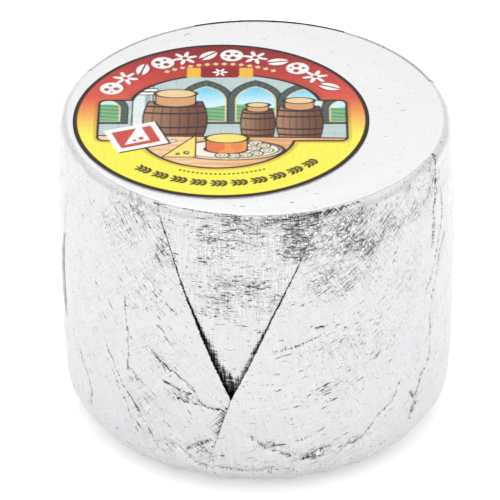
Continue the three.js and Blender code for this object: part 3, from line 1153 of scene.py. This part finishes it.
# The label as one closed body: a square grid carried onto the disc, a wall round its edge and a flat underside.
# A grid point keeps its larger coordinate as its radius, and the smaller one sets its bearing.
def paperLabel(material):
    cells = labelSheet["cells"]
    p, q = np.meshgrid(np.linspace(-1, 1, cells + 1), np.linspace(-1, 1, cells + 1))
    wide = np.abs(p) > np.abs(q)
    big, small = np.where(wide, p, q), np.where(wide, q, p)
    bearing = np.divide(small, big, out=np.zeros_like(big), where=big != 0) * math.pi / 4
    a = labelRadius * big * np.where(wide, np.cos(bearing), np.sin(bearing))
    b = labelRadius * big * np.where(wide, np.sin(bearing), np.cos(bearing))
    far = np.hypot(a, b) / labelRadius
    curl = labelSheet["curl"] * (lattice((a + 60) / 120, (b + 60) / 9, 13, 41) - 0.5)
    up = labelHigh[2] + curl - 0.04 * ease(far, 0.97, 1)
    top = np.stack([a + labelMiddle[0], b + labelMiddle[1], up], -1).reshape(-1, 3)
    size = cells + 1
    index = np.arange(size * size).reshape(size, size)
    quads = np.stack([index[:-1, :-1], index[:-1, 1:], index[1:, 1:], index[1:, :-1]], -1).reshape(-1, 4)
    loop = borderOf(index.T)
    low = labelLow[2] - labelSheet["below"]
    under = top[loop] * [1, 1, 0] + [0, 0, low]
    first, turn = len(top), len(loop)
    foot = first + np.arange(turn)
    points = np.concatenate([top, under, [[labelMiddle[0], labelMiddle[1], low]]])
    colours = np.concatenate([labelPrint(a, b).reshape(-1, 3), np.full((turn + 1, 3), labelSheet["paper"])])
    faces = [quads, ringBand(loop, foot), poleFan(first + turn, foot, True)]
    return meshPiece("paper_label", points, faces, material, {"print": colours})


cheeseShape = {
    "inset": 0.5,  # how far it keeps inside its box
    "pits": 0.22,
    "columns": 150,
    "stations": [(0.04, 1, 20), (1.1, 2, 6), (2.02, 3, 50), (3.06, 4, 12), (4.05, 4.96, 18)],
}


# The cheese: the same outline shrunk to the cheese's box, with a rough, pitted rind, closed at both ends.
def cheeseWheel(material):
    t = np.concatenate([np.linspace(*run) for run in cheeseShape["stations"]])
    columns = cheeseShape["columns"]
    angle = np.linspace(-math.pi, math.pi, columns, endpoint=False)[None] + 0 * t[:, None]
    station = t[:, None] + 0 * angle
    turn = angle / (2 * math.pi)
    rough = lattice(turn, station * 11, 60, 51) + ridges(turn, station * 5, 24, 52) - 1.2
    rough = cheeseShape["pits"] * rough
    shrink = wheel["radius"] - cheeseHigh[0] + cheeseShape["inset"]
    points = onWheel(angle, station, rough - shrink)
    points[..., 2] = np.clip(points[..., 2], cheeseLow[2] + 0.4 * rough, None)
    count, middle = station.size, wheel["lean"] / 2
    poles = [[middle, 0, points[0, :, 2].mean()], [-middle, 0, points[-1, :, 2].mean()]]
    ring = np.arange(columns)
    faces = [
        gridFaces(len(t), columns, True),
        poleFan(count, ring),
        poleFan(count + 1, count - columns + ring, True),
    ]
    return meshPiece("cheese_wheel", np.concatenate([points.reshape(-1, 3), poles]), faces, material)


stage = {
    "floor": 4.0,  # m
    "floorColour": (0.95, 0.95, 0.955, 1),
    "floorGlow": 0.24,  # the floor is lit from below a little, as a light table is
    "light": (1.06, 1.3),  # brightness low down, and from half way up
    "rise": (0.54, 0.72),  # heights of a direction between which the one passes into the other
    "dark": ((0.1, -0.86, 0.46), 0.92, 0.985, 0.42),
    "bright": ((-0.1, -1.0, 0.1), 0.93, 0.99, 1.55),
}


# White light from everywhere, brighter from above; a dim patch where the room is open and a bright low
# one in front, which the foil's creases pick up. A patch is a direction, two cosines and its brightness.
def softRoom():
    world = bpy.data.worlds.new("softRoom")
    bpy.context.scene.world = world
    world.use_nodes = True
    tree = world.node_tree
    way = node(tree, "TexCoord", output="Generated")
    up = node(tree, "SeparateXYZ", {0: way}, 2)
    strength = between(tree, up, *stage["rise"], *stage["light"])
    for patch in ("bright", "dark"):
        middle, low, high, tone = stage[patch]
        unit = np.array(middle) / np.linalg.norm(middle)
        facing = node(tree, "VectorMath", {0: way, 1: tuple(unit)}, "Value", operation="DOT_PRODUCT")
        strength = times(tree, strength, between(tree, facing, low, high, 1.0, tone))
    setInputs(tree, tree.nodes["Background"], {"Strength": strength, "Color": (1, 1, 1, 1)})


# A plain square floor, lit a little from within.
def floor():
    half = stage["floor"] / 2
    mesh = bpy.data.meshes.new("floor")
    corners = [(-half, -half, 0), (half, -half, 0), (half, half, 0), (-half, half, 0)]
    mesh.from_pydata(corners, [], [(0, 1, 2, 3)])
    material, tree, shader = newMaterial("paleFloor")
    setInputs(tree, shader, {
        "Base Color": stage["floorColour"],
        "Emission Color": stage["floorColour"],
        "Emission Strength": stage["floorGlow"],
        "Roughness": 0.9,
    })
    mesh.materials.append(material)
    piece = bpy.data.objects.new("floor", mesh)
    bpy.context.scene.collection.objects.link(piece)


view = {"elevation": 32.9, "distance": 1.1, "lens": 282.9, "shift": (-0.014, 0.002)}


# Looks from the front, from `elevation` degrees up, at the height of the wheel's middle over the axis.
def camera():
    data = bpy.data.cameras.new("camera")
    data.lens, data.sensor_width = view["lens"], 36
    data.shift_x, data.shift_y = view["shift"]
    data.clip_start, data.clip_end = 0.05, 20
    seen = bpy.data.objects.new("camera", data)
    rise = math.radians(view["elevation"])
    middle = wheel["height"] * mm / 2
    seen.location = (0, -view["distance"] * math.cos(rise), middle + view["distance"] * math.sin(rise))
    seen.rotation_euler = (math.pi / 2 - rise, 0, 0)
    bpy.context.scene.collection.objects.link(seen)
    bpy.context.scene.camera = seen


bpy.context.scene.view_settings.view_transform = "Standard"
camera()
softRoom()
floor()
print("stage ready")

foil = foilMaterial()
sheet = foilSheet(foil)
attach(sheet, "root")
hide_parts("foil_wrapper")
print("foil sheet ready")

for name, turn in (("front", 0), ("back", 180)):
    hanging = foilTab("foil_tab_" + name, turn, foil)
    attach(hanging, "root")
print("tabs ready")

for name, hand, turn in (("left", -1, 0), ("right", 1, 0), ("back_left", -1, 180), ("back_right", 1, 180)):
    wing = foilWing("foil_wing_" + name, hand, turn, foil)
    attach(wing, "root")
print("wings ready")

paper = paperLabel(labelMaterial())
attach(paper, "root")
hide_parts("label")
print("label ready")

rind = cheeseWheel(rindMaterial())
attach(rind, "root")
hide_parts("cheese")
print("cheese ready")
